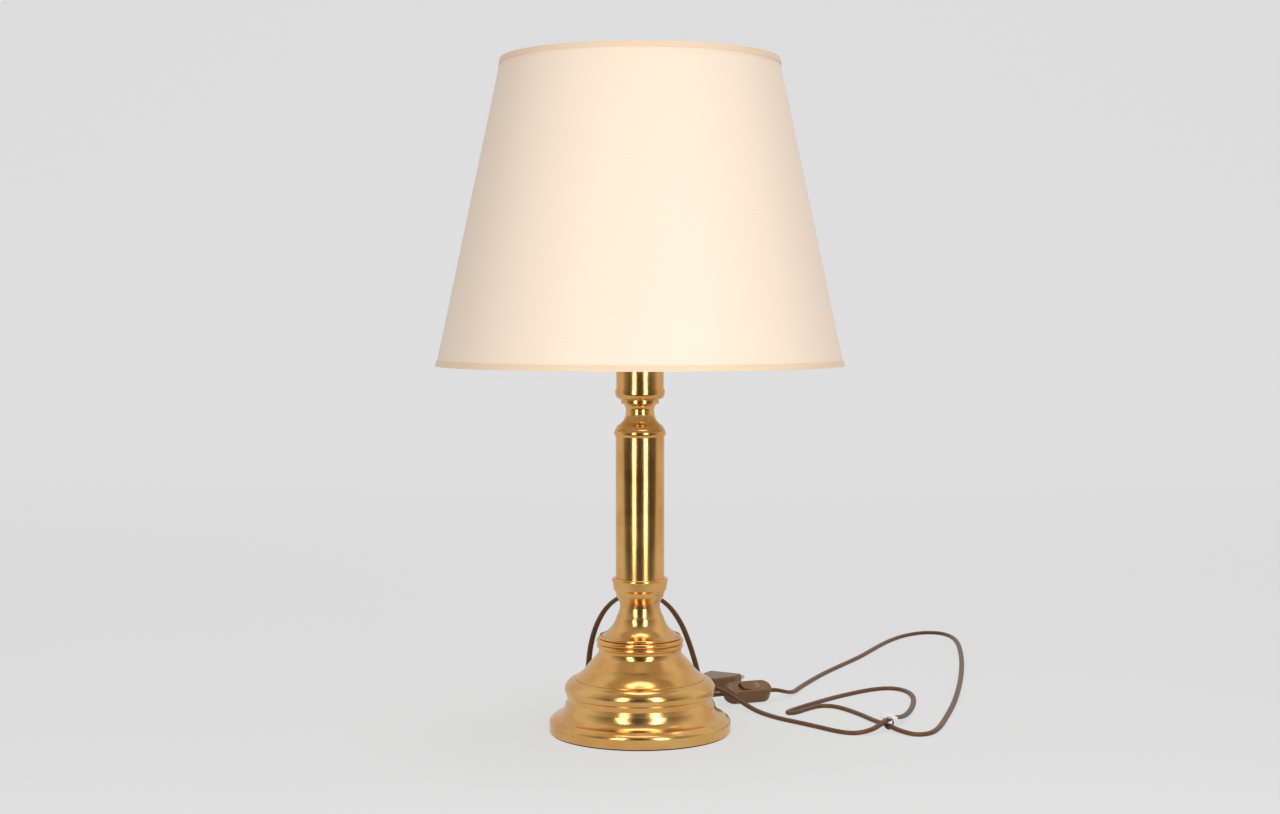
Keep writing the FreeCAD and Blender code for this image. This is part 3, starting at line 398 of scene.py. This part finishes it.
def make_flex(name, route, material):
    line = tidy_line(route_line(name, route))
    section = twin_section()
    vertices = []
    travel = [0.0]
    for index, point in enumerate(line):
        ahead = line[min(index + 1, len(line) - 1)]
        behind = line[max(index - 1, 0)]
        forward = (ahead - behind).normalized()
        side = forward.cross(Vector((0, 0, 1))).normalized()
        lift = side.cross(forward)
        vertices += [point + side * across + lift * up for across, up in section]
        if index:
            travel.append(travel[-1] + (point - line[index - 1]).length)
    faces = []
    for ring in range(len(line) - 1):
        for step in range(FLEX_SIDES):
            after = (step + 1) % FLEX_SIDES
            low, high = ring * FLEX_SIDES, (ring + 1) * FLEX_SIDES
            faces.append((low + step, low + after, high + after, high + step))
    faces.append(tuple(range(FLEX_SIDES - 1, -1, -1)))
    last = (len(line) - 1) * FLEX_SIDES
    faces.append(tuple(range(last, last + FLEX_SIDES)))
    mesh = bpy.data.meshes.new(name)
    mesh.from_pydata(vertices, [], faces)
    layer = mesh.uv_layers.new(name="along")
    for face in mesh.polygons:
        wraps = face.index < (len(line) - 1) * FLEX_SIDES and face.index % FLEX_SIDES == FLEX_SIDES - 1
        for corner in face.loop_indices:
            vertex = mesh.loops[corner].vertex_index
            turn = vertex % FLEX_SIDES
            if wraps and turn == 0:
                turn = FLEX_SIDES
            layer.data[corner].uv = (travel[vertex // FLEX_SIDES] / MM, turn * 0.35)
        face.use_smooth = True
    mesh.materials.append(material)
    piece = bpy.data.objects.new(name, mesh)
    bpy.context.scene.collection.objects.link(piece)
    return piece, line


def make_cords(materials):
    sheath = materials["flex_sheath"]
    lamp_flex, lamp_line = make_flex("flex_lamp_to_switch", LAMP_ROUTE, sheath)
    plug_flex, plug_line = make_flex("flex_switch_to_plug", PLUG_ROUTE, sheath)
    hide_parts("cord_lamp_to_switch")
    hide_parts("cord_switch_to_plug")
    for piece in (lamp_flex, plug_flex):
        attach(piece, "stand")
    dressed = [make_relief(materials), *make_tie(materials)]


TIE_MIDDLE = Vector((217.0, 7.0, 6.2))
TIE_HALF_WIDTH = 4.4
TIE_HALF_HEIGHT = 5.6
TIE_TURNS = 3
TIE_PITCH = 3.1
TIE_STRIP = 2.7
TIE_THICKNESS = 0.35
TIE_END_THICKNESS = 0.5
TIE_END_LENGTH = 15.0
TIE_END_FORWARD = 4.0
TIE_END_BOW = 1.4
TIE_END_DROP = 2.2


def make_tie(materials):
    """Paper strip wound round the crossing of the flex, its end folded over the top."""
    steps = 36 * TIE_TURNS
    vertices = []
    for step in range(steps + 1):
        angle = TAU * TIE_TURNS * step / steps
        along = TIE_PITCH * TIE_TURNS * (step / steps - 0.5)
        for side, grow in ((-1, 0), (1, 0), (1, TIE_THICKNESS), (-1, TIE_THICKNESS)):
            spoke = Vector(((TIE_HALF_WIDTH + grow) * math.cos(angle), along + side * TIE_STRIP / 2,
                            (TIE_HALF_HEIGHT + grow) * math.sin(angle)))
            vertices.append((TIE_MIDDLE + spoke) * MM)
    band = strip_mesh("tie_band", vertices, steps, materials["tie_wrap"])
    vertices = []
    steps = 24
    wide = Vector((0.3, 0.72, 0.6)).normalized() * TIE_STRIP
    thin = Vector((0, -0.6, 0.8)) * TIE_END_THICKNESS / 2
    for step in range(steps + 1):
        share = step / steps
        bow = math.sin(math.pi * share)
        height = TIE_HALF_HEIGHT + TIE_END_BOW * bow - TIE_END_DROP * share
        middle = TIE_MIDDLE + Vector((TIE_END_LENGTH * (share - 0.5), -TIE_END_FORWARD * share, height))
        for across, up in ((-1, -1), (1, -1), (1, 1), (-1, 1)):
            vertices.append((middle + wide * across * (0.6 + 0.4 * bow) + thin * up) * MM)
    tail = strip_mesh("tie_tail", vertices, steps, materials["tie_wrap"])
    for piece in (band, tail):
        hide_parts("cord_tie")
        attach(piece, "stand")
    return [band, tail]


def strip_mesh(name, vertices, steps, material):
    """A strip of four-sided section through the given corners."""
    faces = [(3, 2, 1, 0), tuple(steps * 4 + corner for corner in range(4))]
    for step in range(steps):
        low, high = 4 * step, 4 * step + 4
        for corner in range(4):
            after = (corner + 1) % 4
            faces.append((low + corner, low + after, high + after, high + corner))
    mesh = bpy.data.meshes.new(name)
    mesh.from_pydata(vertices, [], faces)
    mesh.materials.append(material)
    piece = bpy.data.objects.new(name, mesh)
    bpy.context.scene.collection.objects.link(piece)
    return piece


def lathe(name, profile, start, axis, material, sides=32):
    """A turned mesh: profile of (distance along the axis, radius) from a start point."""
    axis = axis.normalized()
    side = axis.orthogonal().normalized()
    lift = axis.cross(side)
    vertices = []
    for along, radius in profile:
        for step in range(sides):
            angle = TAU * step / sides
            spoke = side * math.cos(angle) + lift * math.sin(angle)
            vertices.append(start + axis * along + spoke * radius)
    faces = []
    for ring in range(len(profile) - 1):
        for step in range(sides):
            after = (step + 1) % sides
            low, high = ring * sides, (ring + 1) * sides
            faces.append((low + step, low + after, high + after, high + step))
    faces.append(tuple(range(sides - 1, -1, -1)))
    faces.append(tuple(range((len(profile) - 1) * sides, len(profile) * sides)))
    mesh = bpy.data.meshes.new(name)
    mesh.from_pydata(vertices, [], faces)
    for face in mesh.polygons[:-2]:
        face.use_smooth = True
    mesh.materials.append(material)
    piece = bpy.data.objects.new(name, mesh)
    bpy.context.scene.collection.objects.link(piece)
    return piece


RELIEF_START = 5.4 * MM
RELIEF_END_RADIUS = 3.4 * MM
RELIEF_RIBS = 6
RELIEF_GROOVE = 0.7 * MM


def make_relief(materials):
    """Ribbed taper where the flex enters the plug."""
    length = RELIEF_LENGTH * MM
    profile = []
    for rib in range(RELIEF_RIBS):
        for share, depth in ((0.02, 0), (0.58, 0), (0.66, RELIEF_GROOVE), (0.94, RELIEF_GROOVE)):
            place = (rib + share) / RELIEF_RIBS
            radius = RELIEF_START + (RELIEF_END_RADIUS - RELIEF_START) * place
            profile.append((place * length, radius - depth))
    profile.append((length, RELIEF_END_RADIUS))
    start = (PLUG_FACE - PLUG_AXIS * PLUG_LENGTH) * MM
    piece = lathe("plug_relief", profile, start, -PLUG_AXIS, materials["brown_plastic"])
    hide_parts("plug_strain_relief")
    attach(piece, "stand")
    return piece


# ---- stage -----------------------------------------------------------------

# Glow levels of the backdrop: pale near the front for camera rays, with painted light brighter far back; in
# reflections, painted shade dark at the front, pale further back.
BACKDROP = 0.76
PAINTED_LIGHT_FAR = 0.87
BACKDROP_MIRRORED = 0.62
PAINTED_DARK_FRONT = 0.035


def make_backdrop():
    """Floor that curves up into a wall. Camera rays see it pale, with painted light that makes it brighter
    towards the back. Reflections see painted shade: dark in front, pale further back.
    """
    half, front, bend, radius, top = 6.0, -4.0, 2.5, 1.2, 5.0
    profile = [(front, 0.0), (bend, 0.0)]
    for step in range(1, 13):
        angle = math.pi / 2 * step / 12
        profile.append((bend + radius * math.sin(angle), radius * (1 - math.cos(angle))))
    profile.append((bend + radius, top))
    vertices = [(x, y, z) for y, z in profile for x in (-half, half)]
    faces = [(2 * i, 2 * i + 1, 2 * i + 3, 2 * i + 2) for i in range(len(profile) - 1)]
    mesh = bpy.data.meshes.new("backdrop")
    mesh.from_pydata(vertices, [], faces)
    for face in mesh.polygons:
        face.use_smooth = True
    n = Nodes("backdrop")
    glow = n.add("ShaderNodeEmission")
    cloth = n.add("ShaderNodeBsdfDiffuse")
    cloth.inputs["Color"].default_value = (0.72, 0.72, 0.72, 1)
    seen = n.add("ShaderNodeLightPath")
    split = n.add("ShaderNodeSeparateXYZ")
    n.feed(split, "Vector", n.add("ShaderNodeNewGeometry").outputs["Position"])
    # Painted light and shade: for camera rays the glow brightens towards the back; for glossy rays the front
    # is painted dark and turns pale further back.
    n.tree.links.new(n.mix(seen.outputs["Is Glossy Ray"],
                           n.depth_ramp(split.outputs["Y"], 0.0, 3.4, BACKDROP, PAINTED_LIGHT_FAR),
                           n.depth_ramp(split.outputs["Y"], -0.55, -0.17, PAINTED_DARK_FRONT, BACKDROP_MIRRORED)),
                     glow.inputs["Color"])
    rays = n.math("MAXIMUM", n.math("MULTIPLY", seen.outputs["Is Camera Ray"], 0.78),
                  n.math("MULTIPLY", seen.outputs["Is Glossy Ray"], 0.96))
    blend = n.add("ShaderNodeMixShader")
    n.feed(blend, "Fac", rays)
    n.tree.links.new(cloth.outputs[0], blend.inputs[1])
    n.tree.links.new(glow.outputs[0], blend.inputs[2])
    n.tree.links.new(blend.outputs[0], n.tree.nodes["Material Output"].inputs["Surface"])
    mesh.materials.append(n.material)
    floor = bpy.data.objects.new("backdrop", mesh)
    bpy.context.scene.collection.objects.link(floor)


def softbox(name, place, target, width, height, power):
    data = bpy.data.lights.new(name, "AREA")
    data.shape = "RECTANGLE"
    data.size = width
    data.size_y = height
    data.energy = power
    lamp = bpy.data.objects.new(name, data)
    lamp.location = place
    aim = Vector(target) - Vector(place)
    lamp.rotation_euler = aim.to_track_quat("-Z", "Y").to_euler()
    lamp.visible_camera = False
    bpy.context.scene.collection.objects.link(lamp)


def make_lights():
    """Two tall softboxes beside the view, one overhead, and a room that is dark in front."""
    softbox("left_box", (-0.5, -0.98, 0.56), (0, 0, 0.56), 0.26, 1.08, 4.7)
    softbox("right_box", (0.5, -0.98, 0.56), (0, 0, 0.56), 0.24, 1.08, 5.8)
    softbox("top_box", (0.3, 0.2, 2.4), (0, 0, 0.2), 1.4, 1.4, 18)
    world = bpy.data.worlds.new("studio")
    bpy.context.scene.world = world
    world.use_nodes = True
    tree = world.node_tree
    place = tree.nodes.new("ShaderNodeTexCoord")
    split = tree.nodes.new("ShaderNodeSeparateXYZ")
    tree.links.new(place.outputs["Generated"], split.inputs[0])
    ramp = tree.nodes.new("ShaderNodeValToRGB")
    shift = tree.nodes.new("ShaderNodeMapRange")
    shift.inputs["From Min"].default_value = -1.0
    tree.links.new(split.outputs["Y"], shift.inputs["Value"])
    tree.links.new(shift.outputs["Result"], ramp.inputs["Fac"])
    ramp.color_ramp.elements[0].position = 0.1
    ramp.color_ramp.elements[0].color = (0.05, 0.05, 0.05, 1)
    ramp.color_ramp.elements[1].position = 0.52
    ramp.color_ramp.elements[1].color = (0.92, 0.92, 0.92, 1)
    room = tree.nodes["Background"]
    tree.links.new(ramp.outputs["Color"], room.inputs["Color"])
    room.inputs["Strength"].default_value = 0.75
    pale = tree.nodes.new("ShaderNodeBackground")
    pale.inputs["Color"].default_value = (BACKDROP, BACKDROP, BACKDROP, 1)
    blend = tree.nodes.new("ShaderNodeMixShader")
    tree.links.new(tree.nodes.new("ShaderNodeLightPath").outputs["Is Camera Ray"], blend.inputs["Fac"])
    tree.links.new(room.outputs[0], blend.inputs[1])
    tree.links.new(pale.outputs[0], blend.inputs[2])
    tree.links.new(blend.outputs[0], tree.nodes["World Output"].inputs["Surface"])


make_camera()
surfaces = make_materials()
make_cords(surfaces)
dress_cad(surfaces)
make_backdrop()
make_lights()
bpy.context.scene.view_settings.view_transform = "Standard"
